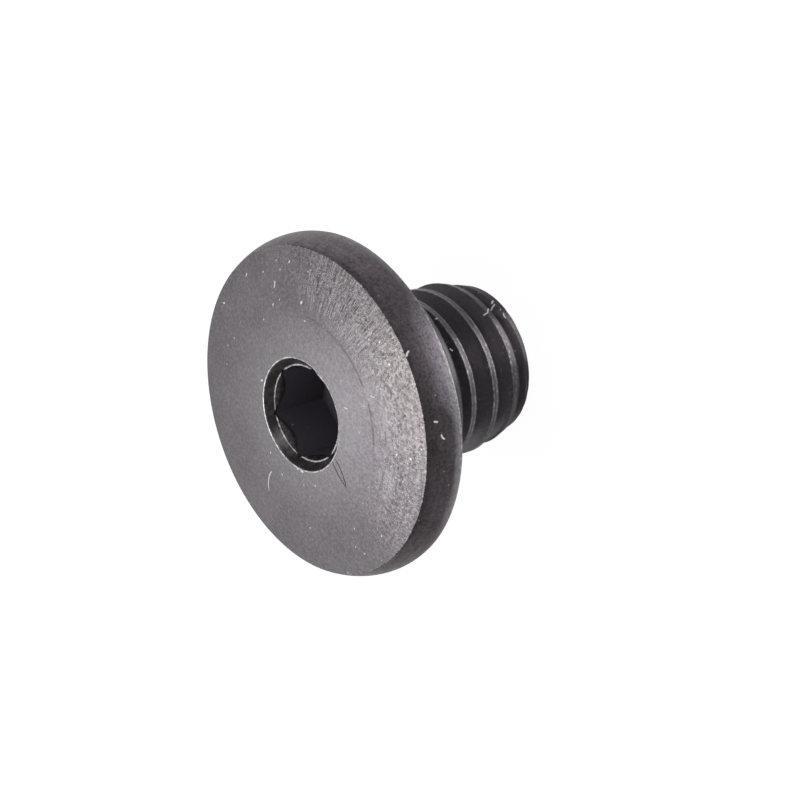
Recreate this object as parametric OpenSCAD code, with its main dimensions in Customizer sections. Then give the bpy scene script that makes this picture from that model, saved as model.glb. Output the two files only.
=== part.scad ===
// Bleed screw with a wide, low-crowned head, a hexagon socket and a sealing ring.
// Millimetres. The origin is the centre of the bearing face under the head.
// +Z runs along the axis towards the head, and the shank hangs down to its tip.

/* [Head] */
// Largest diameter of the head, at the widest ring of its band
head_d = 11.8; // [9.5:0.1:16]
// Height of the widest ring above the bearing face
widest_h = 0.5; // [0.3:0.05:1.2]
// Height of the sharp edge between the band and the crowned face
edge_h = 1.45; // [1.3:0.05:3]
// How far that edge lies inside the widest ring
edge_in = 0.25; // [0.1:0.05:0.8]
// How far the band draws in from the widest ring to the bevel under it
heel_in = 0.08; // [0.02:0.01:0.3]
// Width of the bevel between the band and the bearing face
bevel_w = 0.05; // [0.02:0.01:0.25]
// Rise of the crowned face from its edge to the socket's mouth
crown_h = 0.55; // [0.2:0.05:0.9]

/* [Socket] */
// Width of the hexagon across its flats
key_w = 3; // [2:0.1:3.3]
// Depth of the hexagon below the ledge around it
key_depth = 2.1; // [1:0.1:3]
// Depth of the round mouth, from the crown down to the ledge
mouth_depth = 0.25; // [0.15:0.05:0.5]
// Angle between the mouth's wall and the axis
mouth_angle = 47; // [30:1:60]
// How far the hexagon's corners reach past the ledge into the mouth's wall
corner_bite = 0.05; // [0.02:0.01:0.08]
// Width of the flat ledge around the hexagon
ledge_w = 0.05; // [0.02:0.01:0.1]
// Angle between the axis and the lead-in below the ledge
lead_angle = 28; // [20:1:45]
// Full angle of the drilled point under the hexagon
drill_angle = 118; // [90:1:140]

/* [Thread] */
// Length of the shank from the bearing face to the tip
shank_l = 6; // [5:0.5:16]
// Major diameter of the thread, over its crests
thread_d = 5.9; // [5.8:0.05:8]
// Rise of the thread in one turn
pitch = 1; // [0.7:0.05:1.1]
// Width of the flat on the crest
crest_w = 0.22; // [0.1:0.01:0.3]
// Width of the floor of the groove
root_w = 0.14; // [0.1:0.01:0.25]
// Angle between the two flanks of the groove
flank_angle = 60; // [55:1:60]
// Turn of the groove's start about the axis
thread_turn = 266; // [0:1:359]
// Length of the taper at the tip
taper_l = 1.25; // [0.4:0.05:1.8]
// How far the taper draws in
taper_in = 0.37; // [0.1:0.01:0.45]
// Angle between the axis and the shoulder where the thread starts
shoulder_angle = 45; // [30:5:60]

/* [Neck and sealing ring] */
// Thickness of the sealing ring
ring_t = 1.9; // [1.5:0.1:2.2]
// Gap between the ring and the metal around it
ring_gap = 0.01; // [0.01:0.01:0.05]
// Free length of the neck beyond the ring
neck_spare = 0.05; // [0.05:0.05:0.5]
// How far the neck lies below the floor of the groove
neck_relief = 0.02; // [0.01:0.01:0.1]
// Fillet between the neck and the bearing face
neck_fillet = 0.2; // [0.1:0.05:0.4]

/* [Hidden] */

// Facets of a turn of the thread, and of round surfaces on screen
turn_steps = 72;
round_steps = 180;
// How far a cutter stands clear of what it cuts
clear = 0.1;
// How far joined volumes run into each other
lap = 0.05;

edge_r = head_d / 2 - edge_in;
crown_top = edge_h + crown_h;
key_r = key_w / 2 / cos(30);
ledge_r = key_r - corner_bite;
ledge_z = crown_top - mouth_depth;
mouth_r = ledge_r + mouth_depth * tan(mouth_angle);
lead_r = ledge_r - ledge_w;
drill_r = key_w / 2 - lap;
drill_z = ledge_z - key_depth;

// The crown is a sphere through the face's edge and the mouth's rim.
crown_below = (pow(edge_r, 2) - pow(mouth_r, 2) - pow(crown_h, 2)) / (2 * crown_h);
crown_r = norm([edge_r, crown_below]);

// Radius of an arc that starts upright and draws in by "inward" over "along".
function arc_r(along, inward) = (pow(along, 2) + pow(inward, 2)) / (2 * inward);
band_r = arc_r(edge_h - widest_h, edge_in);
heel_r = arc_r(widest_h - bevel_w, heel_in);

thread_r = thread_d / 2;
flank_w = (pitch - crest_w - root_w) / 2;
groove_depth = flank_w / tan(flank_angle / 2);
cutter_half = root_w / 2 + (groove_depth + clear) * tan(flank_angle / 2);
neck_r = thread_r - groove_depth - neck_relief;
neck_l = ring_t + ring_gap + neck_spare;
shoulder_l = (thread_r - neck_r) / tan(shoulder_angle);

// Slice of the head between two heights, with its side on an arc of radius r.
module side_slice(r, low, high) {
    intersection() {
        translate([0, low]) square([head_d / 2, high - low]);
        union() {
            square([head_d / 2 - r, high]);
            translate([head_d / 2 - r, widest_h]) circle(r, $fn = round_steps);
        }
    }
}

module head_section() {
    intersection() {
        union() {
            side_slice(band_r, widest_h, crown_top);
            side_slice(heel_r, bevel_w, widest_h);
            polygon([
                [0, 0],
                [head_d / 2 - heel_in - bevel_w, 0],
                [head_d / 2 - heel_in, bevel_w],
                [0, bevel_w],
            ]);
        }
        translate([0, edge_h - crown_below]) circle(crown_r, $fn = 2 * round_steps);
    }
}

module fillet_section() {
    difference() {
        translate([neck_r - lap, -neck_fillet]) square(neck_fillet + lap);
        translate([neck_r + neck_fillet, -neck_fillet]) circle(neck_fillet, $fn = round_steps);
    }
}

module shank_section() {
    polygon([
        [0, -shank_l],
        [thread_r - taper_in, -shank_l],
        [thread_r, -shank_l + taper_l],
        [thread_r, -neck_l - shoulder_l],
        [neck_r, -neck_l],
        [neck_r, bevel_w],
        [0, bevel_w],
    ]);
}

// The four corners of the groove's section, a degrees round from its start.
function groove_ring(a) =
    let (
        z = -shank_l + pitch * (a - thread_turn) / 360,
        section = [
            [thread_r + clear, -cutter_half],
            [thread_r - groove_depth, -root_w / 2],
            [thread_r - groove_depth, root_w / 2],
            [thread_r + clear, cutter_half],
        ]
    )
    [for (p = section) [p[0] * cos(a), p[0] * sin(a), z + p[1]]];

// The groove starts below the tip and ends over the neck, clear of the head.
module groove() {
    turns = (shank_l - neck_l + cutter_half) / pitch + thread_turn / 360;
    last = ceil(turns * turn_steps);
    rings = [for (i = [-turn_steps : last]) groove_ring(i * 360 / turn_steps)];
    end = 4 * (len(rings) - 1);
    polyhedron(
        points = [for (ring = rings) each ring],
        faces = concat(
            [[0, 1, 2, 3]],
            [for (i = [0 : 4 : end - 4], j = [0 : 3]) let (k = (j + 1) % 4) [i + j, i + j + 4, i + k + 4, i + k]],
            [[end + 3, end + 2, end + 1, end]]
        )
    );
}

module socket() {
    translate([0, 0, drill_z]) cylinder(crown_top + clear - drill_z, key_r, key_r, $fn = 6);
    rotate_extrude($fn = round_steps) polygon([
        [0, drill_z - drill_r / tan(drill_angle / 2)],
        [drill_r, drill_z],
        [drill_r, ledge_z - (lead_r - drill_r) / tan(lead_angle)],
        [lead_r, ledge_z],
        [ledge_r, ledge_z],
        [mouth_r + clear * tan(mouth_angle), crown_top + clear],
        [0, crown_top + clear],
    ]);
}

module screw() {
    color("#504c50") difference() {
        rotate_extrude($fn = round_steps) {
            head_section();
            fillet_section();
            shank_section();
        }
        groove();
        socket();
    }
}

module o_ring() {
    color("#1c1c1e") rotate_extrude($fn = round_steps)
        translate([neck_r + ring_gap + ring_t / 2, -ring_gap - ring_t / 2])
            circle(ring_t / 2, $fn = round_steps);
}

screw();
o_ring();
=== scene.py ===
"""Looks of a bleed screw: a black-oxidised steel screw and its rubber sealing ring."""

import math
from types import SimpleNamespace

import bmesh
import bpy
import numpy as np
from mathutils import Matrix, Vector
from mathutils.bvhtree import BVHTree


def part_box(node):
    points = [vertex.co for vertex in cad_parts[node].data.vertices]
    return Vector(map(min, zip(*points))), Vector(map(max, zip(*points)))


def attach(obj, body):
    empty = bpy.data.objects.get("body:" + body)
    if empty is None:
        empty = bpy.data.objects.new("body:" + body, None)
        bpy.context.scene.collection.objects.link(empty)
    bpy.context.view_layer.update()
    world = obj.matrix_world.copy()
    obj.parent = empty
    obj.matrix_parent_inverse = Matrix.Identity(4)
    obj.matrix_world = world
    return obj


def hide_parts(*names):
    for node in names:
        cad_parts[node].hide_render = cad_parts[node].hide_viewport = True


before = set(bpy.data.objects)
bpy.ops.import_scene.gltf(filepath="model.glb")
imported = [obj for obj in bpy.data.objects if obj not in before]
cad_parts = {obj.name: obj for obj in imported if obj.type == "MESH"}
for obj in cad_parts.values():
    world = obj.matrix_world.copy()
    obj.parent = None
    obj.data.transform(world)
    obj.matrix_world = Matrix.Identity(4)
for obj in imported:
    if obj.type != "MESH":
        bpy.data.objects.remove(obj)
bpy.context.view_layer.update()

MM = 0.001
TAU = 2 * math.pi


def tangent(degrees):
    return math.tan(math.radians(degrees))


# ---------------------------------------------------------------- sizes, in millimetres

SCREW_LOW, SCREW_HIGH = [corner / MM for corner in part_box("screw")]
RING_LOW, RING_HIGH = [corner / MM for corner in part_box("o_ring")]

HEAD_R = SCREW_HIGH.x
CROWN_TOP = SCREW_HIGH.z
TIP_Z = SCREW_LOW.z

# The head, whose band is widest at WIDEST_H above the bearing face.
CROWN_H = 0.55
EDGE_H = CROWN_TOP - CROWN_H
EDGE_IN = 0.25
EDGE_R = HEAD_R - EDGE_IN
WIDEST_H = 0.5
HEEL_IN = 0.08
BEVEL_W = 0.05
BEARING_R = HEAD_R - HEEL_IN - BEVEL_W

# The socket. KEY_FLAT is half of the key's width.
KEY_FLAT = 1.5
KEY_DEPTH = 2.1
CORNER_CUT = 0.05
MOUTH_DEPTH = 0.25
MOUTH_SLOPE = tangent(47)
LEDGE_R = KEY_FLAT / math.cos(math.radians(30)) - CORNER_CUT
LEDGE_Z = CROWN_TOP - MOUTH_DEPTH
LEDGE_W = 0.05
MOUTH_R = LEDGE_R + MOUTH_DEPTH * MOUTH_SLOPE
LEAD_R = LEDGE_R - LEDGE_W
LEAD_SLOPE = tangent(28)
FLOOR_Z = LEDGE_Z - KEY_DEPTH
FLOOR_W = 0.05
DRILL_R = KEY_FLAT - FLOOR_W
DRILL_SLOPE = tangent(59)

# The thread, the neck and the tip. THREAD_TURN is where the thread starts round the axis.
THREAD_R = 2.95
PITCH = 1.0
CREST_W = 0.22
ROOT_W = 0.14
FLANK_SLOPE = tangent(30)
ROOT_R = THREAD_R - (PITCH - CREST_W - ROOT_W) / 2 / FLANK_SLOPE
ROOT_ROUND = 0.06
CREST_ROUND = 0.03
CREST_HOLLOW = 0.008
HOLLOW_EDGE = (0.04, 0.06)
THREAD_TURN = math.radians(266)
ROOT_CUT = 0.02
NECK_R = ROOT_R - ROOT_CUT
RING_SEAT = 0.05
NECK_Z = RING_LOW.z - RING_SEAT
NECK_FILLET = 0.2
TAPER_L = 1.25
TAPER_IN = 0.37
TIP_ROUND = 0.03

# The meshes.
COLUMNS = 300
RING_COLUMNS = 240
WELD = 2e-7
SHARP_ANGLE = math.radians(32)

# Wear of a vertex: 1 on a bright edge, 0 on plain oxide, -1 deep in the socket, where it marks
# painted shade.
HEEL_WEAR = 0.5
LEDGE_WEAR = 0.65
LEAD_WEAR = 0.3
SHADED_WEAR = -0.8
DEEP_WEAR = -1.0
CREST_WEAR = 0.8
CORNER_WEAR = 0.9
CUT_WEAR = 0.35
TIP_WEAR = 0.2

# Edges of the head: rounding and wear.
RIM_EDGE = (0.05, 1.0)
FACE_EDGE = (0.03, 0.45)
BEVEL_EDGE = (0.02, 1.0)

# How far from an edge its wear ends.
WEAR_FADE = 0.015
FOOT_FADE = 0.02
LEAD_FADE = 0.001
SHADE_FADE = 0.1
TIP_FADE = 0.5


# ---------------------------------------------------------------- outlines: (radius, z, wear and painted light)

def arc_points(centre, radius, start, end, steps):
    """An arc from one angle to another, in radians, with no wear."""
    x, z = centre
    angles = np.linspace(start, end, steps + 1)
    return [(x + radius * math.cos(a), z + radius * math.sin(a), 0.0) for a in angles]


def drawn_in(along, inward):
    """Radius of an arc that starts upright and draws in by inward over along."""
    return (along ** 2 + inward ** 2) / (2 * inward)


def line_points(start, end, steps):
    """Points after start on a straight line to end, with no wear."""
    (r0, z0), (r1, z1) = start, end
    counts = range(1, steps + 1)
    return [(r0 + (r1 - r0) * k / steps, z0 + (z1 - z0) * k / steps, 0.0) for k in counts]


def round_corner(outline, index, radius, wear=1.0, steps=4):
    """The outline with one corner replaced by an arc that carries the wear."""
    before, corner, after = (Vector(outline[k][:2]) for k in (index - 1, index, index + 1))
    to_before = (before - corner).normalized()
    to_after = (after - corner).normalized()
    half = to_before.angle(to_after) / 2
    centre = corner + (to_before + to_after).normalized() * radius / math.sin(half)
    spoke = corner + to_before * radius / math.tan(half) - centre
    sweep = spoke.angle_signed(corner + to_after * radius / math.tan(half) - centre)
    turned = [centre + Matrix.Rotation(-sweep * k / steps, 2) @ spoke for k in range(steps + 1)]
    worn = [(p.x, p.y, wear) for p in turned]
    near = (*(turned[0] + to_before * WEAR_FADE), outline[index - 1][2])
    far = (*(turned[-1] + to_after * WEAR_FADE), outline[index + 1][2])
    return outline[:index] + [near] + worn + [far] + outline[index + 1:]


WALL_H = 0.1
WALL_TOP = (MOUTH_R - WALL_H * MOUTH_SLOPE, CROWN_TOP - WALL_H, 0.0)


def crown_arc(steps):
    """The crown from the mouth's rim to the face's edge, which is part of a sphere."""
    below = (EDGE_R ** 2 - MOUTH_R ** 2 - CROWN_H ** 2) / (2 * CROWN_H)
    radius = math.hypot(EDGE_R, below)
    start, end = math.acos(MOUTH_R / radius), math.acos(EDGE_R / radius)
    return arc_points((0, EDGE_H - below), radius, start, end, steps)


def band_arc(steps):
    """The band from the face's edge down to its widest circle."""
    radius = drawn_in(EDGE_H - WIDEST_H, HEAD_R - EDGE_R)
    start = math.asin((EDGE_H - WIDEST_H) / radius)
    return arc_points((HEAD_R - radius, WIDEST_H), radius, start, 0, steps)


def heel_arc(steps):
    """The band from its widest circle down to the bevel, a little worn near its end."""
    radius = drawn_in(WIDEST_H - BEVEL_W, HEEL_IN)
    end = -math.asin((WIDEST_H - BEVEL_W) / radius)
    heel = arc_points((HEAD_R - radius, WIDEST_H), radius, 0, end, steps)
    heel[-2] = (*heel[-2][:2], HEEL_WEAR)
    return heel


def neck_points():
    """From the bevel along the bearing face and the fillet to the foot of the neck."""
    centre = (NECK_R + NECK_FILLET, -NECK_FILLET)
    fillet = arc_points(centre, NECK_FILLET, math.pi / 2, math.pi, steps=6)
    bearing = [(BEARING_R, 0.0, 0.0)] + line_points((BEARING_R, 0), fillet[0][:2], steps=6)
    return bearing + fillet[1:] + line_points(fillet[-1][:2], (NECK_R, NECK_Z), steps=3)


def head_outline():
    """From the mouth's wall over the crown, round the band and under the head to the neck."""
    crown = crown_arc(steps=48)
    outline = [WALL_TOP] + crown + band_arc(steps=16)[1:] + heel_arc(steps=6)[1:]
    bevel = len(outline)
    edges = [
        (1, *RIM_EDGE),
        (len(crown), *FACE_EDGE),
        (bevel - 1, *BEVEL_EDGE),
        (bevel, *BEVEL_EDGE),
    ]
    outline += neck_points()
    for index, radius, wear in reversed(edges):
        outline = round_corner(outline, index, radius, wear)
    return outline


def socket_outline(angle):
    """From the mouth's wall down the hexagon to the drill point, at one angle round the axis."""
    off_flat = (angle + math.radians(30)) % math.radians(60) - math.radians(30)
    hexagon_r = KEY_FLAT / math.cos(math.radians(30) - abs(off_flat))
    if hexagon_r > LEDGE_R:
        foot = (hexagon_r, LEDGE_Z + (hexagon_r - LEDGE_R) / MOUTH_SLOPE)
        lead = foot
    else:
        foot = (LEDGE_R, LEDGE_Z)
        lead = (max(LEAD_R, hexagon_r), LEDGE_Z)
    flat_z = min(lead[1], LEDGE_Z - (LEAD_R - hexagon_r) / LEAD_SLOPE)
    return [
        WALL_TOP,
        (foot[0] + FOOT_FADE * MOUTH_SLOPE, foot[1] + FOOT_FADE, 0.0),
        (*foot, LEDGE_WEAR),
        (*lead, LEDGE_WEAR),
        # The lead-in cone is a little worn and lighter, partly a painted highlight.
        (lead[0] - LEAD_FADE, lead[1] - LEAD_FADE, LEAD_WEAR),
        (hexagon_r, flat_z, LEAD_WEAR),
        (hexagon_r, flat_z - SHADE_FADE, SHADED_WEAR),
        (hexagon_r, FLOOR_Z + 0.8 * (flat_z - FLOOR_Z), DEEP_WEAR),
        (hexagon_r, FLOOR_Z, DEEP_WEAR),
        (DRILL_R, FLOOR_Z, DEEP_WEAR),
        (0.5 * DRILL_R, FLOOR_Z - 0.5 * DRILL_R / DRILL_SLOPE, DEEP_WEAR),
        (0.0, FLOOR_Z - DRILL_R / DRILL_SLOPE, DEEP_WEAR),
    ]


def thread_outline():
    """One pitch of the thread: (radius, height above the crest's middle, wear)."""
    corner = (THREAD_R, CREST_W / 2)
    half = [(THREAD_R, 0.0, CREST_WEAR), (*corner, CREST_WEAR)]
    half += line_points(corner, (ROOT_R, (PITCH - ROOT_W) / 2), steps=8)
    half += [(ROOT_R, PITCH / 2, 0.0)]
    half = round_corner(half, len(half) - 2, ROOT_ROUND, wear=0.0)
    half = round_corner(half, 1, CREST_ROUND, CORNER_WEAR)
    hollow = [(THREAD_R - CREST_HOLLOW, h, 0.0) for h in (0.0, HOLLOW_EDGE[0])]
    half = hollow + [(THREAD_R, HOLLOW_EDGE[1], CREST_WEAR)] + half[1:]
    return [(r, -h, w) for r, h, w in reversed(half[1:])] + half[:-1]


def thread_radius(outline, first_crest, angle, z):
    """Radius of the thread where a plane across the axis cuts it."""
    height = (z - first_crest - PITCH * angle / TAU + PITCH / 2) % PITCH - PITCH / 2
    heights = [h for _, h, _ in outline]
    radii = [r for r, _, _ in outline]
    return float(np.interp(height, heights, radii, period=PITCH))


def shank_limit(z):
    """Largest radius of the shank at a height: its shoulder, body, taper and rounded tip."""
    if z > NECK_Z - (THREAD_R - NECK_R):
        return NECK_R + (NECK_Z - z)
    limit = THREAD_R - TAPER_IN * max(0.0, 1 - (z - TIP_Z) / TAPER_L)
    under = max(0.0, TIP_ROUND - (z - TIP_Z))
    return limit - TIP_ROUND + math.sqrt(TIP_ROUND ** 2 - under ** 2)


# ---------------------------------------------------------------- meshes

class Surface:
    """Vertices, faces and wear of a surface built from rows round the screw's axis; the wear also
    carries painted shade and highlight.
    """

    def __init__(self):
        self.points = []
        self.wear = []
        self.faces = []

    def point(self, radius, angle, z, wear=0.0):
        """A new vertex's number, from a place in millimetres and radians."""
        self.points.append((radius * math.cos(angle) * MM, radius * math.sin(angle) * MM, z * MM))
        self.wear.append(wear)
        return len(self.points) - 1

    def strip(self, near, far):
        """Quads between two columns of vertices of the same length."""
        for a, b, c, d in zip(near, far, far[1:], near[1:]):
            self.faces.append((a, b, c, d))

    def lathe(self, outline_at, columns=COLUMNS):
        """A turned surface whose outline may change with the angle."""
        angles = [TAU * k / columns for k in range(columns)]
        rows = [[self.point(r, a, z, w) for r, z, w in outline_at(a)] for a in angles]
        for near, far in zip(rows, rows[1:] + rows[:1]):
            self.strip(near, far)

    def build(self, name):
        """One welded mesh object, with its wear as a vertex attribute; the wear also carries
        painted shade and highlight.
        """
        mesh = bpy.data.meshes.new(name)
        mesh.from_pydata(self.points, [], self.faces)
        layer = mesh.attributes.new("wear", "FLOAT", "POINT")
        layer.data.foreach_set("value", self.wear)
        shell = bmesh.new()
        shell.from_mesh(mesh)
        bmesh.ops.remove_doubles(shell, verts=shell.verts, dist=WELD)
        bmesh.ops.dissolve_degenerate(shell, edges=shell.edges, dist=WELD)
        bmesh.ops.recalc_face_normals(shell, faces=shell.faces)
        shell.to_mesh(mesh)
        shell.free()
        mesh.shade_smooth()
        mesh.set_sharp_from_angle(angle=SHARP_ANGLE)
        return linked(name, mesh)


def linked(name, data):
    """A new object with this data, in the scene."""
    made = bpy.data.objects.new(name, data)
    bpy.context.scene.collection.objects.link(made)
    return made


def thread_column(outline, first_crest, k):
    """Points up the shank in one column: (radius, angle, height, wear)."""
    angle = TAU * k / COLUMNS
    turns = math.ceil((NECK_Z - first_crest) / PITCH) + 1
    column = []
    for turn in range(-1, turns):
        for radius, height, wear in outline:
            z = first_crest + height + PITCH * (turn + k / COLUMNS)
            if z < TIP_Z or z > NECK_Z:
                z = min(max(z, TIP_Z), NECK_Z)
                radius = thread_radius(outline, first_crest, angle, z)
            limit = shank_limit(z)
            if radius > limit:
                wear = CUT_WEAR if z > TIP_Z + TIP_FADE else TIP_WEAR
            column.append((min(radius, limit), angle, z, wear))
    return column


def add_thread(surface):
    """Rows that follow the helix, cut off at the tip and at the neck, and the tip's flat face."""
    outline = thread_outline()
    first_crest = TIP_Z - PITCH * THREAD_TURN / TAU - PITCH / 2
    columns = [thread_column(outline, first_crest, k) for k in range(COLUMNS)]
    rows = [[surface.point(*p) for p in column] for column in columns]
    for near, far in zip(rows, rows[1:]):
        surface.strip(near, far)
    pitch_rows = len(outline)
    surface.strip(rows[-1][:-pitch_rows], rows[0][pitch_rows:])
    add_tip(surface, [column[0] for column in columns])


def add_tip(surface, rim):
    """The flat end face, from the rim of the shank to the axis."""
    shares = (1.0, 0.96, 0.6, 0.25, 0.0)
    rows = [[surface.point(r * share, a, z) for share in shares] for r, a, z, _ in rim]
    for near, far in zip(rows, rows[1:] + rows[:1]):
        surface.strip(near, far)


def make_screw():
    """The head, the socket and the threaded shank, as one closed mesh."""
    surface = Surface()
    outline = head_outline()
    surface.lathe(lambda angle: outline)
    surface.lathe(socket_outline)
    add_thread(surface)
    return surface.build("steel_screw")


def make_ring():
    """The sealing ring, which is a torus."""
    thick = (RING_HIGH.z - RING_LOW.z) / 2
    centre = (RING_HIGH.x - thick, (RING_HIGH.z + RING_LOW.z) / 2)
    outline = arc_points(centre, thick, 0, TAU, steps=72)
    surface = Surface()
    surface.lathe(lambda angle: outline, RING_COLUMNS)
    return surface.build("rubber_ring")


screw = make_screw()
ring = make_ring()
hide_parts("screw")
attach(screw, "root")
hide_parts("o_ring")
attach(ring, "root")


# ---------------------------------------------------------------- lint and hairs

FLATNESS = 0.35
END_SHARE = 0.35
FIBRE_SIDES = 6
FIBRE_STEPS = 8


def cylindrical(angle, radius, height=0.0):
    """A place in metres from an angle in degrees, and a radius and height in millimetres."""
    a = math.radians(angle)
    return Vector((radius * math.cos(a), radius * math.sin(a), height)) * MM


def laid_points(tree, start, end, bow):
    """Places and normals of a bowed line laid on the surface, seen from above or from outside."""
    chord = end - start
    on_face = min(start.z, end.z) >= CROWN_TOP * MM
    lift = Vector((0, 0, 1)) if on_face else Vector((start.x, start.y, 0)).normalized()
    points = []
    for k in range(FIBRE_STEPS + 1):
        t = k / FIBRE_STEPS
        sideways = chord.cross(lift).normalized() * (bow * MM * 4 * t * (1 - t))
        outside = start + chord * t + sideways + lift * 2 * MM
        hit, normal, _, _ = tree.ray_cast(outside, -lift)
        if hit:
            points.append((hit, normal))
    return points


def fibre_ring(shell, centre, across, normal, radius):
    """Vertices of one flattened section of a fibre."""
    ring = []
    for n in range(FIBRE_SIDES):
        a = TAU * n / FIBRE_SIDES
        spoke = across * math.cos(a) + normal * math.sin(a) * FLATNESS
        ring.append(shell.verts.new(centre + spoke * radius))
    return ring


def add_fibre(shell, points, thickness):
    """A fine flattened tube along points on a surface, tapered at both ends."""
    rings = []
    last = len(points) - 1
    for k, (place, normal) in enumerate(points):
        along = (points[min(k + 1, last)][0] - points[max(k - 1, 0)][0]).normalized()
        across = along.cross(normal).normalized()
        share = END_SHARE if k in (0, last) else 1.0
        centre = place + normal * thickness * MM * FLATNESS / 4
        rings.append(fibre_ring(shell, centre, across, normal, thickness * MM * share / 2))
    for near, far in zip(rings, rings[1:]):
        for n in range(FIBRE_SIDES):
            after = (n + 1) % FIBRE_SIDES
            shell.faces.new((near[n], near[after], far[after], far[n]))
    shell.faces.new(rings[0][::-1])
    shell.faces.new(rings[-1])


def make_fibres(name, marks):
    """One object of fine fibres. A mark: angle, radius, height of each end, bow, thickness."""
    data = screw.data
    tree = BVHTree.FromPolygons([v.co for v in data.vertices], [p.vertices for p in data.polygons])
    shell = bmesh.new()
    for start, end, bow, thickness in marks:
        points = laid_points(tree, cylindrical(*start), cylindrical(*end), bow)
        add_fibre(shell, points, thickness)
    for vert in shell.verts:
        vert.co.z = min(vert.co.z, CROWN_TOP * MM)
    mesh = bpy.data.meshes.new(name)
    shell.to_mesh(mesh)
    shell.free()
    mesh.shade_smooth()
    fibres = linked(name, mesh)
    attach(fibres, "root")
    return fibres


TOP = CROWN_TOP
OUT = HEAD_R
PALE_FIBRES = [
    # on the crowned face
    ((155.8, 4.29, TOP), (154.8, 4.53, TOP), 0.01, 0.07),
    ((136.2, 3.82, TOP), (135.2, 3.93, TOP), 0.0, 0.10),
    ((173.8, 5.10, TOP), (172.5, 5.18, TOP), 0.0, 0.06),
    ((-167.0, 5.18, TOP), (-165.9, 5.28, TOP), 0.0, 0.06),
    ((-155.9, 2.08, TOP), (-153.0, 2.14, TOP), 0.0, 0.08),
    ((69.6, 3.68, TOP), (67.9, 3.88, TOP), 0.01, 0.06),
    ((66.5, 2.36, TOP), (64.5, 2.54, TOP), 0.01, 0.06),
    ((-79.5, 3.05, TOP), (-76.5, 3.95, TOP), 0.10, 0.05),
    ((-47.5, 1.99, TOP), (-43.0, 2.03, TOP), 0.0, 0.09),
    ((-53.0, 2.00, TOP), (-50.5, 2.02, TOP), 0.0, 0.06),
    ((145.4, 5.07, TOP), (144.6, 5.16, TOP), 0.0, 0.06),
    ((159.1, 3.73, TOP), (158.2, 3.81, TOP), 0.0, 0.06),
    ((-88.4, 2.44, TOP), (-87.3, 2.53, TOP), 0.0, 0.05),
    ((-70.6, 2.68, TOP), (-69.1, 2.75, TOP), 0.0, 0.05),
    # on the band and across its edges
    ((80.0, OUT, 1.29), (78.5, OUT, 1.43), 0.02, 0.07),
    ((55.9, OUT, 1.16), (55.4, OUT, 1.02), 0.0, 0.07),
    ((51.3, OUT, 0.95), (49.4, OUT, 0.83), 0.04, 0.06),
    # on the thread
    ((106.5, THREAD_R, -2.80), (105.3, THREAD_R, -2.87), 0.0, 0.05),
    ((83.7, THREAD_R, -2.77), (81.3, THREAD_R, -2.81), 0.01, 0.05),
    ((111.0, THREAD_R, -5.72), (109.5, THREAD_R, -5.62), 0.0, 0.08),
    ((107.2, THREAD_R, -5.67), (106.3, THREAD_R, -5.54), 0.02, 0.07),
    ((106.3, THREAD_R, -5.54), (98.6, THREAD_R, -4.86), 0.06, 0.07),
    ((98.6, THREAD_R, -4.86), (99.2, THREAD_R, -4.76), 0.0, 0.06),
    ((101.8, THREAD_R, -5.72), (100.9, THREAD_R, -5.68), 0.0, 0.05),
    ((98.2, THREAD_R, -5.71), (93.8, THREAD_R, -5.70), 0.02, 0.07),
]
DARK_FIBRES = [
    ((13.2, 1.97, TOP), (2.0, 2.95, TOP), -0.08, 0.03),
    ((8.0, 1.97, TOP), (2.0, 2.95, TOP), 0.06, 0.03),
]

pale_fibres = make_fibres("lint", PALE_FIBRES)
dark_fibres = make_fibres("hair", DARK_FIBRES)


# ---------------------------------------------------------------- shading tools

def direction(azimuth, elevation):
    """Unit vector at an azimuth from +X and an elevation, in degrees."""
    a, e = math.radians(azimuth), math.radians(elevation)
    return Vector((math.cos(e) * math.cos(a), math.cos(e) * math.sin(a), math.sin(e)))


def rgb(red, green, blue):
    """An opaque colour."""
    return (red, green, blue, 1.0)


WHITE = rgb(1, 1, 1)


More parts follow.
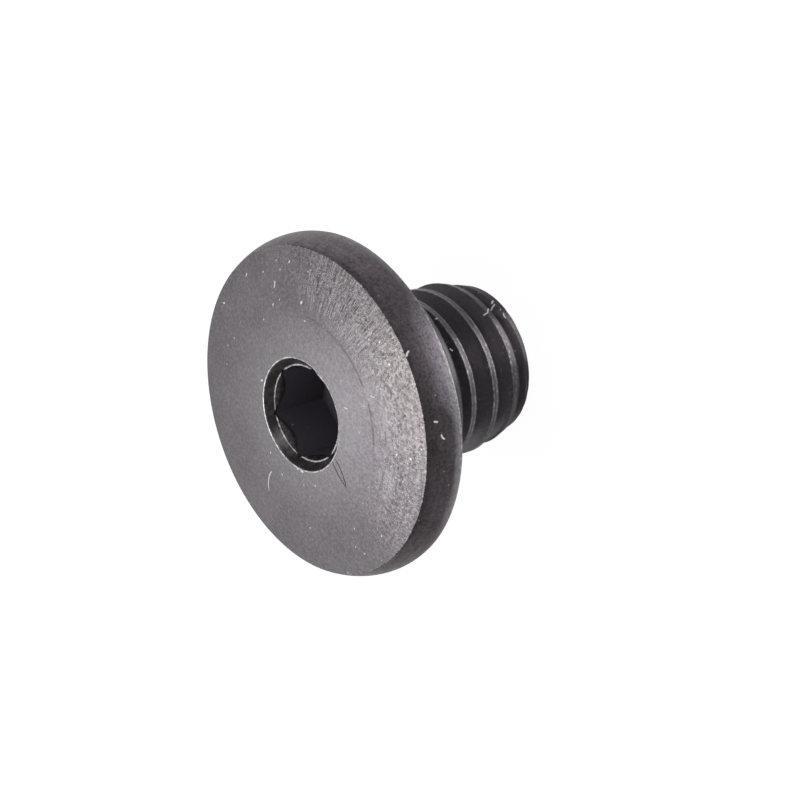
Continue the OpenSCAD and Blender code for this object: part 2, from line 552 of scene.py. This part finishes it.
class Shading:
    """Short calls that add linked nodes to one material or world."""

    def __init__(self, owner):
        owner.use_nodes = True
        self.tree = owner.node_tree
        self.tree.nodes.clear()

    def put(self, socket, value):
        """A socket's value: another node's output, or a constant."""
        if isinstance(value, bpy.types.NodeSocket):
            self.tree.links.new(value, socket)
        else:
            socket.default_value = value

    def node(self, kind, inputs=None, **settings):
        """A new node, with its inputs linked or set."""
        made = self.tree.nodes.new("ShaderNode" + kind)
        for key, value in settings.items():
            setattr(made, key, value)
        for key, value in (inputs or {}).items():
            self.put(made.inputs[key], value)
        return made

    def object_place(self):
        """The place on the object, in metres."""
        return self.node("TexCoord").outputs["Object"]

    def millimetres(self):
        """The place on the object, in millimetres."""
        return self.scaled(self.object_place(), 1 / MM)

    def math(self, operation, a, b=0.0):
        return self.node("Math", {0: a, 1: b}, operation=operation).outputs[0]

    def plus(self, first, *others):
        for other in others:
            first = self.math("ADD", first, other)
        return first

    def times(self, first, *others):
        for other in others:
            first = self.math("MULTIPLY", first, other)
        return first

    def minus(self, a, b):
        return self.math("SUBTRACT", a, b)

    def largest(self, first, *others):
        for other in others:
            first = self.math("MAXIMUM", first, other)
        return first

    def vector(self, operation, a, b=(0, 0, 0)):
        made = self.node("VectorMath", {0: a, 1: b}, operation=operation)
        return made.outputs["Value" if operation in ("LENGTH", "DOT_PRODUCT") else "Vector"]

    def scaled(self, a, factor):
        made = self.node("VectorMath", {0: a, "Scale": factor}, operation="SCALE")
        return made.outputs["Vector"]

    def upward(self, vector):
        """The Z part of a vector."""
        return self.node("SeparateXYZ", {0: vector}).outputs["Z"]

    def level(self, vector):
        """A vector without its Z part."""
        return self.vector("MULTIPLY", vector, (1, 1, 0))

    def step(self, value, low, high, to_low=0.0, to_high=1.0):
        """Smooth change from to_low to to_high while value goes from low to high."""
        inputs = {
            "Value": value,
            "From Min": low,
            "From Max": high,
            "To Min": to_low,
            "To Max": to_high,
        }
        return self.node("MapRange", inputs, interpolation_type="SMOOTHSTEP").outputs["Result"]

    def between(self, share, to_low, to_high):
        """Smooth change from to_low to to_high while a share goes from zero to one."""
        return self.step(share, 0.0, 1.0, to_low, to_high)

    def ring(self, radius, centre, half_width):
        """One on a circle round the axis, and zero beyond a half width from it."""
        off = self.math("ABSOLUTE", self.minus(radius, centre))
        return self.step(off, 0.0, half_width, 1.0, 0.0)

    def sector(self, around, azimuth, full, none):
        """One within full degrees of an azimuth, and zero beyond none degrees from it."""
        facing = self.vector("DOT_PRODUCT", around, tuple(direction(azimuth, 0)))
        return self.step(facing, math.cos(math.radians(none)), math.cos(math.radians(full)))

    def ring_place(self, radius, height):
        """Coordinates that change quickly across the lines a lathe leaves."""
        inputs = {"X": 0.0, "Y": self.times(radius, 9.0), "Z": self.times(height, 9.0)}
        return self.node("CombineXYZ", inputs).outputs[0]

    def noise(self, vector, scale, detail=2.0, roughness=0.5):
        """Smooth noise from zero to one."""
        inputs = {"Vector": vector, "Scale": scale, "Detail": detail, "Roughness": roughness}
        return self.node("TexNoise", inputs).outputs["Fac"]

    def specks(self, vector, scale, share, size):
        """One inside scattered round specks: a share of the cells holds one of a size."""
        cells = self.node("TexVoronoi", {"Vector": vector, "Scale": scale}).outputs
        lot = self.node("SeparateColor", {0: cells["Color"]}).outputs[0]
        chosen = self.step(lot, 1 - share, 1 - share + 0.02)
        return self.times(chosen, self.step(cells["Distance"], 0.6 * size, size, 1.0, 0.0))

    def mix(self, factor, a, b):
        """Colour a where the factor is zero, and colour b where it is one."""
        made = self.node("Mix", data_type="RGBA")
        for socket, value in zip((made.inputs[0], made.inputs[6], made.inputs[7]), (factor, a, b)):
            self.put(socket, value)
        return made.outputs[2]

    def blend(self, value, low, high, colours):
        """The first colour below low, the second above high, and a smooth change between."""
        return self.mix(self.step(value, low, high), *colours)

    def bump(self, height, strength, distance, normal=None):
        """Relief whose full height is a distance in millimetres, over an earlier normal."""
        inputs = {"Height": height, "Strength": strength, "Distance": distance * MM}
        if normal is not None:
            inputs["Normal"] = normal
        return self.node("Bump", inputs).outputs[0]

    def emission(self, strength):
        return self.node("Emission", {"Color": WHITE, "Strength": strength}).outputs[0]

    def diffuse(self, level):
        return self.node("BsdfDiffuse", {"Color": rgb(level, level, level)}).outputs[0]

    def background(self, strength):
        return self.node("Background", {"Color": WHITE, "Strength": strength}).outputs[0]

    def either(self, share, a, b):
        """Shader b where share is one, and shader a where it is zero."""
        return self.node("MixShader", {0: share, 1: a, 2: b}).outputs[0]

    def principled(self, inputs):
        """The tree's output is a principled shader with these inputs."""
        self.finish(self.node("BsdfPrincipled", inputs).outputs[0])

    def finish(self, shader, output="OutputMaterial"):
        self.tree.links.new(shader, self.node(output).inputs["Surface"])


# ---------------------------------------------------------------- steel

# Sides of the screw: azimuth, full within and none beyond, in degrees.
# The worn, flaked, cool, warm, satin, hem and crest sides lie towards the camera; their lighter
# colour is partly wear and partly painted highlight and reflection.
WORN_SIDE = (72, 20, 100)
STROKE_SIDE = (110, 12, 34)
FLAKED_SIDE = (74, 14, 40)
COOL_SIDE = (60, 25, 60)
WARM_SIDE = (66, 6, 36)
TURNED_SIDE = (30, 25, 50)
SATIN_SIDE = (75, 6, 24)
HEM_SIDE = (40, 12, 35)
CREST_SIDE = (68, 16, 42)
INNER_RING_SIDE = (86, 42, 52)
OUTER_RING_SIDE = (38, 12, 24)

# Ring-shaped lines on the face: radius and half width, in millimetres.
INNER_RING = (3.48, 0.07)
OUTER_RING = (4.0, 0.05)

# Colours. A pair is a pattern's low and high end.
OXIDE = (rgb(0.160, 0.145, 0.160), rgb(0.190, 0.174, 0.187))
FACE_CENTRE = rgb(0.245, 0.232, 0.250)
BAND = rgb(0.245, 0.194, 0.220)
SMUDGE = rgb(0.100, 0.086, 0.095)
SHANK = rgb(0.205, 0.188, 0.210)
# Lighter tints of the worn side: partly painted highlight.
COOL = rgb(0.33, 0.333, 0.37)
WARM = rgb(0.300, 0.245, 0.200)
# A painted reflection on the satin patch.
SATIN = rgb(0.350, 0.315, 0.385)
# A painted reflection on the band's hem.
HEM = rgb(0.56, 0.53, 0.56)
GRAINS = (rgb(0.075, 0.065, 0.07), rgb(0.42, 0.396, 0.4))
FLAKES = (rgb(0.10, 0.086, 0.084), rgb(0.40, 0.375, 0.38))
STROKES = (rgb(0.07, 0.062, 0.07), rgb(0.32, 0.30, 0.31))
TURNING = (rgb(0.09, 0.077, 0.084), rgb(0.31, 0.275, 0.305))
PIT = rgb(0.07, 0.06, 0.062)
# A painted highlight in specks.
GLINT = rgb(0.55, 0.53, 0.52)
# Painted shade on the wall of the socket's mouth.
MOUTH_FILM = rgb(0.07, 0.063, 0.06)
# Painted shade deep in the socket.
RECESS = rgb(0.19, 0.178, 0.208)
LINE = rgb(0.05, 0.042, 0.05)
# Bare metal on worn edges, and a painted highlight on the crests towards the camera.
BARE_METAL = rgb(0.72, 0.70, 0.70)
DUST = rgb(0.7, 0.7, 0.7)
FINE_DUST = rgb(0.6, 0.6, 0.6)


def steel_patterns(s):
    """The place on the screw, in several measures, and the patterns that its zones share."""
    place = s.millimetres()
    across = s.level(place)
    around = s.vector("NORMALIZE", across)
    radius = s.vector("LENGTH", across)
    height = s.upward(place)
    stroke_place = s.vector("ADD", s.scaled(around, 65.0), s.scaled(place, 0.8))
    turning_place = s.vector("ADD", s.scaled(around, 3.0), s.ring_place(radius, height))
    grain = s.noise(place, 9.5, 4, 0.75)
    return SimpleNamespace(
        around=around,
        radius=radius,
        height=height,
        wear=s.node("Attribute", attribute_name="wear").outputs["Fac"],
        clouds=s.noise(place, 0.6, 3),
        blotches=s.noise(place, 1.4, 3, 0.6),
        mottle=s.noise(place, 3.0, 4, 0.6),
        flakes=s.noise(place, 6.0, 3, 0.6),
        grain=grain,
        speckle=s.step(grain, 0.36, 0.64),
        strokes=s.noise(stroke_place, 1.0, 3, 0.6),
        turning=s.noise(turning_place, 1.0, 3, 0.65),
        pits=s.specks(place, 7.0, 0.35, 0.35),
        glints=s.specks(place, 8.0, 0.12, 0.25),
        dust=s.specks(s.vector("ADD", place, (3, 1, 2)), 2.5, 0.3, 0.1),
        fine_dust=s.specks(s.vector("ADD", place, (1, 4, 2)), 4.0, 0.4, 0.1),
    )


def face_zones(s, p, z):
    """Zones of the crowned face and the socket's mouth."""
    beyond_mouth = s.step(p.radius, MOUTH_R - 0.03, MOUTH_R - 0.01)
    z.face = s.times(s.step(p.height, EDGE_H - 0.03, EDGE_H), beyond_mouth)
    beyond_ring = s.step(p.radius, INNER_RING[0], INNER_RING[0] + 0.1, 0.0, 0.35)
    z.outer = s.times(z.face, s.plus(beyond_ring, s.step(p.radius, 3.6, 4.8, 0.0, 0.65)))
    # The rough zone is lighter on one side: partly wear, partly painted highlight.
    z.rough = s.times(z.outer, s.between(s.sector(p.around, *WORN_SIDE), 0.15, 1.0))
    stroke_zone = s.times(z.face, s.step(p.radius, 3.4, 4.2), s.sector(p.around, *STROKE_SIDE))
    z.stroked = s.times(stroke_zone, s.step(p.mottle, 0.42, 0.56))
    # The socket's mouth wall gets painted shade.
    within_mouth = s.step(p.radius, MOUTH_R - 0.05, MOUTH_R - 0.04, 1.0, 0.0)
    z.mouth = s.times(within_mouth, s.step(p.height, LEDGE_Z, LEDGE_Z + 0.02))
    # Deep in the socket: painted shade, with a tone of its own.
    z.recess = s.step(p.wear, 0.0, -1.0)
    z.lines = s.times(z.face, ring_lines(s, p))


def ring_lines(s, p):
    """The two broken lines that run round the face."""
    broken = s.times(s.step(p.mottle, 0.42, 0.52), p.speckle)
    inner = s.times(s.ring(p.radius, *INNER_RING), s.sector(p.around, *INNER_RING_SIDE), broken)
    outer = s.times(s.ring(p.radius, *OUTER_RING), s.sector(p.around, *OUTER_RING_SIDE), broken)
    return s.largest(inner, outer)


def band_zones(s, p, z):
    """Zones of the band, with ragged borders, and of the shank."""
    z.shank = s.step(p.height, -0.2, 0.0, 1.0, 0.0)
    beyond_edge = s.step(p.radius, EDGE_R - 0.1, EDGE_R)
    z.band = s.times(beyond_edge, s.minus(1.0, z.face), s.step(p.height, -0.05, 0.0))
    finely = s.step(p.grain, 0.3, 0.7, -0.09, 0.09)
    coarsely = s.step(p.mottle, 0.3, 0.7, -0.09, 0.09)
    ragged = s.plus(s.plus(finely, coarsely), p.height)
    # The satin patch on the band is lighter, partly as a painted reflection.
    satin_top = s.between(s.sector(p.around, *SATIN_SIDE), 0.38, 0.8)
    z.satin = s.times(z.band, s.step(s.minus(ragged, satin_top), -0.06, 0.06, 1.0, 0.0))
    # The bright hem low on the band: partly wear, partly painted reflection.
    z.hem_side = s.sector(p.around, *HEM_SIDE)
    hem_top = s.between(z.hem_side, 0.25, 0.34)
    z.hem = s.times(z.band, s.step(s.minus(ragged, hem_top), -0.1, 0.12, 1.0, 0.0))
    z.turned = s.largest(
        s.times(z.band, 0.2),
        s.times(z.rough, s.sector(p.around, *TURNED_SIDE), 0.3),
    )


def base_layers(s, p, z):
    """Layers of colour on plain oxide: how much of each, and its colour."""
    smudges = s.times(z.band, s.step(p.blotches, 0.36, 0.54, 1.0, 0.0))
    return [
        (s.times(z.face, s.step(p.radius, 2.0, 4.0, 0.9, 0.0)), FACE_CENTRE),
        (s.times(z.band, 0.7), BAND),
        (s.times(smudges, 0.6), SMUDGE),
        (z.shank, SHANK),
    ]


def worn_layers(s, p, z):
    """Layers of the worn side: its tints, grains, flakes, strokes, pits and glints. Towards the
    camera its lighter tints, grains, flakes and glints are partly painted highlight.
    """
    cool = s.times(z.rough, s.step(p.blotches, 0.46, 0.6), s.step(p.radius, 4.5, 5.1, 1.0, 0.0))
    warm = s.times(
        z.outer,
        s.step(p.radius, 4.2, 5.3),
        s.sector(p.around, *WARM_SIDE),
        s.step(p.mottle, 0.35, 0.6),
    )
    grainy = s.largest(
        s.times(z.rough, s.step(p.mottle, 0.35, 0.6, 0.35, 0.85)),
        s.times(z.satin, 0.45),
        s.times(z.band, 0.36),
        s.between(z.face, 0.12, 0.2),
    )
    flaked = s.times(z.outer, s.sector(p.around, *FLAKED_SIDE), 0.4)
    pitted = s.times(p.pits, s.largest(s.times(z.rough, 0.38), s.times(z.band, 0.3)))
    return [
        (s.times(cool, s.sector(p.around, *COOL_SIDE), 0.7), COOL),
        (s.times(warm, 0.9), WARM),
        (s.times(z.satin, 0.8), SATIN),
        (s.times(z.hem, s.between(z.hem_side, 0.35, 0.7)), HEM),
        (grainy, s.mix(p.speckle, *GRAINS)),
        (flaked, s.blend(p.flakes, 0.4, 0.6, FLAKES)),
        (s.times(z.stroked, 0.75), s.blend(p.strokes, 0.35, 0.65, STROKES)),
        (z.turned, s.blend(p.turning, 0.35, 0.65, TURNING)),
        (pitted, PIT),
        # Painted glints on the rough zone.
        (s.times(z.rough, p.glints, 0.8), GLINT),
    ]


def bare_edges(s, p, z):
    """Where the oxide is worn off the edges and the thread's crests, in ragged patches. On the
    shank only the crests towards the camera are bare, which is a painted highlight.
    """
    ragged = s.plus(p.wear, s.step(p.grain, 0.3, 0.7, -0.4, 0.25))
    ragged = s.plus(ragged, s.times(z.shank, s.step(p.turning, 0.35, 0.65, -0.35, 0.25)))
    bare = s.times(s.step(ragged, 0.1, 0.9), s.step(p.flakes, 0.4, 0.58, 0.25, 1.0))
    crest_side = s.between(s.sector(p.around, *CREST_SIDE), 0.4, 1.0)
    return s.times(bare, s.largest(s.minus(1.0, z.shank), crest_side))


def top_layers(s, p, z):
    """Layers over all the others: painted shade on the socket's mouth and deep in the socket, the
    lines, bare edges with a painted highlight on the crests, and dust.
    """
    return [
        (s.times(z.mouth, s.step(p.mottle, 0.4, 0.65, 0.7, 0.0)), MOUTH_FILM),
        (z.recess, RECESS),
        (s.times(z.lines, 0.7), LINE),
        (bare_edges(s, p, z), BARE_METAL),
        (s.times(p.dust, 0.85), DUST),
        (s.times(p.fine_dust, 0.6), FINE_DUST),
    ]


def steel_colour(s, p, z):
    """Plain oxide under all its layers."""
    colour = s.blend(p.clouds, 0.35, 0.65, OXIDE)
    for share, tint in base_layers(s, p, z) + worn_layers(s, p, z) + top_layers(s, p, z):
        colour = s.mix(share, colour, tint)
    return colour


def steel_roughness(s, p, z):
    """Mottled, and duller on the face, on the satin patch, whose colour is partly a painted
    reflection, and in the recess, whose colour is painted shade.
    """
    mottled = s.step(p.mottle, 0.3, 0.7, 0.31, 0.37)
    return s.plus(mottled, s.times(z.face, 0.05), s.times(z.satin, 0.08), s.times(z.recess, 0.2))


def steel_relief(s, p, z):
    """Grains and pits, then strokes, turning marks and the ring-shaped lines."""
    relief = s.minus(s.plus(p.grain, s.times(p.flakes, 0.8)), s.times(p.pits, 0.4))
    strength = s.plus(s.between(z.rough, 0.15, 0.9), s.times(z.satin, 0.6), s.times(z.band, 0.2))
    normal = s.bump(relief, strength, 0.014)
    normal = s.bump(p.strokes, z.stroked, 0.025, normal)
    normal = s.bump(p.turning, s.plus(s.times(z.band, 0.1), z.turned), 0.012, normal)
    return s.bump(z.lines, 0.5, -0.01, normal)


def make_steel():
    """Black-oxidised steel. Its parts share s, the shading, p, the patterns, and z, the zones."""
    material = bpy.data.materials.new("black_oxide_steel")
    s = Shading(material)
    p = steel_patterns(s)
    z = SimpleNamespace()
    face_zones(s, p, z)
    band_zones(s, p, z)
    # Less metallic deep in the socket, where the shade is painted, and a little on the shank.
    oiled = s.largest(s.times(z.recess, 0.2), s.times(z.shank, 0.1))
    s.principled({
        "Base Color": steel_colour(s, p, z),
        "Roughness": steel_roughness(s, p, z),
        "Metallic": s.minus(1.0, oiled),
        "Normal": steel_relief(s, p, z),
    })
    return material


# ---------------------------------------------------------------- rubber and fibres

RUBBER = (rgb(0.095, 0.086, 0.098), rgb(0.130, 0.118, 0.134))
RUBBER_TINT = rgb(1.0, 0.93, 1.0)
LINT = (rgb(0.7, 0.69, 0.68), rgb(0.9, 0.89, 0.88))
HAIR = (rgb(0.02, 0.018, 0.02), rgb(0.05, 0.045, 0.05))


def make_rubber():
    """Dark grey rubber, mottled and a little shiny."""
    material = bpy.data.materials.new("sealing_rubber")
    s = Shading(material)
    place = s.millimetres()
    mottle = s.noise(place, 2.5, 3, 0.6)
    grain = s.noise(place, 30.0, 2, 0.6)
    s.principled({
        "Base Color": s.blend(mottle, 0.4, 0.7, RUBBER),
        "Roughness": s.step(mottle, 0.3, 0.7, 0.24, 0.34),
        "Specular IOR Level": 0.8,
        "Specular Tint": RUBBER_TINT,
        "Normal": s.bump(grain, 0.25, 0.008),
    })
    return material


def make_fibre(name, colours):
    """A dry fibre, mottled between two colours."""
    material = bpy.data.materials.new(name)
    s = Shading(material)
    colour = s.mix(s.noise(s.millimetres(), 12.0), *colours)
    s.principled({"Base Color": colour, "Roughness": 0.8})
    return material


screw.data.materials.append(make_steel())
ring.data.materials.append(make_rubber())
pale_fibres.data.materials.append(make_fibre("lint", LINT))
dark_fibres.data.materials.append(make_fibre("hair", HAIR))


# ---------------------------------------------------------------- floor

# What metal sees of the floor. Distances are in metres, azimuths and widths in degrees.
FLOOR_HALF = 0.6
FLOOR_WHITE = 0.95
FLOOR_SHADE = 0.12
FLOOR_GREY = 0.8
DIM_AZIMUTH = 45
DIM_SIDE = (-0.7, 0.6)
FAR_LIGHT = (0.6, 0.23)
NEAR_START = (0.005, 0.0075)
NEAR_END = (0.0085, 0.014)
NEAR_SIDE = (30, 25, 70)
NEAR_LIGHT = 0.45
POOL_SIDE = (78, 8, 26)
POOL_REACH = (0.013, 0.022)
POOL_LIGHT = (0.85, 0.2)
FOOT_SHADOW = (0.0023, 0.0033)
FOOT_LIGHT = 0.4


def floor_glow(s):
    """How bright metal sees the floor: dim towards the camera, with two lighter pools."""
    place = s.level(s.object_place())
    away = s.vector("LENGTH", place)
    around = s.vector("NORMALIZE", place)
    front = s.vector("DOT_PRODUCT", around, tuple(direction(DIM_AZIMUTH, 0)))
    far = s.step(front, *DIM_SIDE, *FAR_LIGHT)
    near = s.times(s.step(away, *NEAR_START), s.step(away, *NEAR_END, NEAR_LIGHT, 0.0))
    near = s.times(s.sector(around, *NEAR_SIDE), near)
    pool = s.times(s.sector(around, *POOL_SIDE), s.step(away, *POOL_REACH, *POOL_LIGHT))
    return s.times(s.plus(far, near, pool), s.step(away, *FOOT_SHADOW, FOOT_LIGHT, 1.0))


def make_floor_material():
    """White to the camera, with a faint shadow, grey as a light, and its own glow to metal."""
    material = bpy.data.materials.new("floor")
    s = Shading(material)
    path = s.node("LightPath").outputs
    seen = s.node("AddShader", {0: s.emission(FLOOR_WHITE), 1: s.diffuse(FLOOR_SHADE)}).outputs[0]
    shader = s.either(path["Is Camera Ray"], s.diffuse(FLOOR_GREY), seen)
    s.finish(s.either(path["Is Glossy Ray"], shader, s.emission(floor_glow(s))))
    material.cycles.emission_sampling = "NONE"
    return material


def make_floor():
    """A plain square under the tip."""
    mesh = bpy.data.meshes.new("floor")
    half, z = FLOOR_HALF, TIP_Z * MM
    corners = [(-half, -half, z), (half, -half, z), (half, half, z), (-half, half, z)]
    mesh.from_pydata(corners, [], [(0, 1, 2, 3)])
    mesh.materials.append(make_floor_material())
    floor = linked("floor", mesh)


# ---------------------------------------------------------------- room and lamps

ROOM_LIGHT = 0.14
WINDOW_AZIMUTH = -105
WINDOW_ELEVATION = 40
WINDOW_WIDTH = (22, 46)
WINDOW_LIGHT = 0.88
HAZE_SIDE = (95, 14, 36)
HAZE_HEIGHT = (10, 30)
HAZE_LIGHT = 0.09
SOFT_LIGHT = 0.6

# Lamps: azimuth, elevation, distance and size in metres, power in watts.
KEY_LAMP = (-90, 70, 0.25, 0.16, 0.2)
FILL_LAMP = (115, 54, 0.25, 0.05, 0.03)


def room_glow(s):
    """How bright metal sees the room: a soft window behind the screw and a low haze before it."""
    towards = s.node("TexCoord").outputs["Generated"]
    window = tuple(direction(WINDOW_AZIMUTH, WINDOW_ELEVATION))
    facing = s.vector("DOT_PRODUCT", towards, window)
    inside, outside = [math.cos(math.radians(width)) for width in WINDOW_WIDTH]
    glow = s.step(facing, outside, inside, ROOM_LIGHT, WINDOW_LIGHT)
    around = s.vector("NORMALIZE", s.level(towards))
    low, high = [math.sin(math.radians(height)) for height in HAZE_HEIGHT]
    low_down = s.step(s.upward(towards), low, high, HAZE_LIGHT, 0.0)
    return s.plus(glow, s.times(s.sector(around, *HAZE_SIDE), low_down))


def make_world():
    """A white room, which metal sees with its own glow."""
    world = bpy.data.worlds.new("studio")
    bpy.context.scene.world = world
    s = Shading(world)
    path = s.node("LightPath").outputs
    mirrored = s.background(room_glow(s))
    shader = s.either(path["Is Glossy Ray"], s.background(SOFT_LIGHT), mirrored)
    shader = s.either(path["Is Camera Ray"], shader, s.background(1.0))
    s.finish(shader, "OutputWorld")


def make_lamp(name, azimuth, elevation, distance, size, power):
    """A round lamp that points at the origin."""
    lamp = bpy.data.lights.new(name, "AREA")
    lamp.shape = "DISK"
    lamp.size = size
    lamp.energy = power
    aim = direction(azimuth, elevation)
    holder = linked(name, lamp)
    holder.location = aim * distance
    holder.rotation_euler = aim.to_track_quat("Z", "Y").to_euler()


# ---------------------------------------------------------------- camera

VIEW_AZIMUTH = 71.2
VIEW_ELEVATION = 38.1
VIEW_ROLL = -107.88
VIEW_DISTANCE = 119.54
VIEW_TARGET = (0.539, -0.091, -2.111)
LENS = 158.87
SENSOR_W = 36


def make_camera():
    """A long lens, turned so that the screw's axis points to the left of the picture."""
    data = bpy.data.cameras.new("camera")
    data.lens = LENS
    data.sensor_width = SENSOR_W
    data.clip_start = 0.01
    camera = linked("camera", data)
    aim = direction(VIEW_AZIMUTH, VIEW_ELEVATION)
    place = Vector(VIEW_TARGET) * MM + aim * VIEW_DISTANCE * MM
    level = aim.to_track_quat("Z", "Y").to_matrix().to_4x4()
    roll = Matrix.Rotation(math.radians(VIEW_ROLL), 4, "Z")
    camera.matrix_world = Matrix.Translation(place) @ level @ roll
    bpy.context.scene.camera = camera


make_floor()
make_world()
make_lamp("key", *KEY_LAMP)
make_lamp("fill", *FILL_LAMP)
make_camera()
bpy.context.scene.view_settings.view_transform = "Standard"
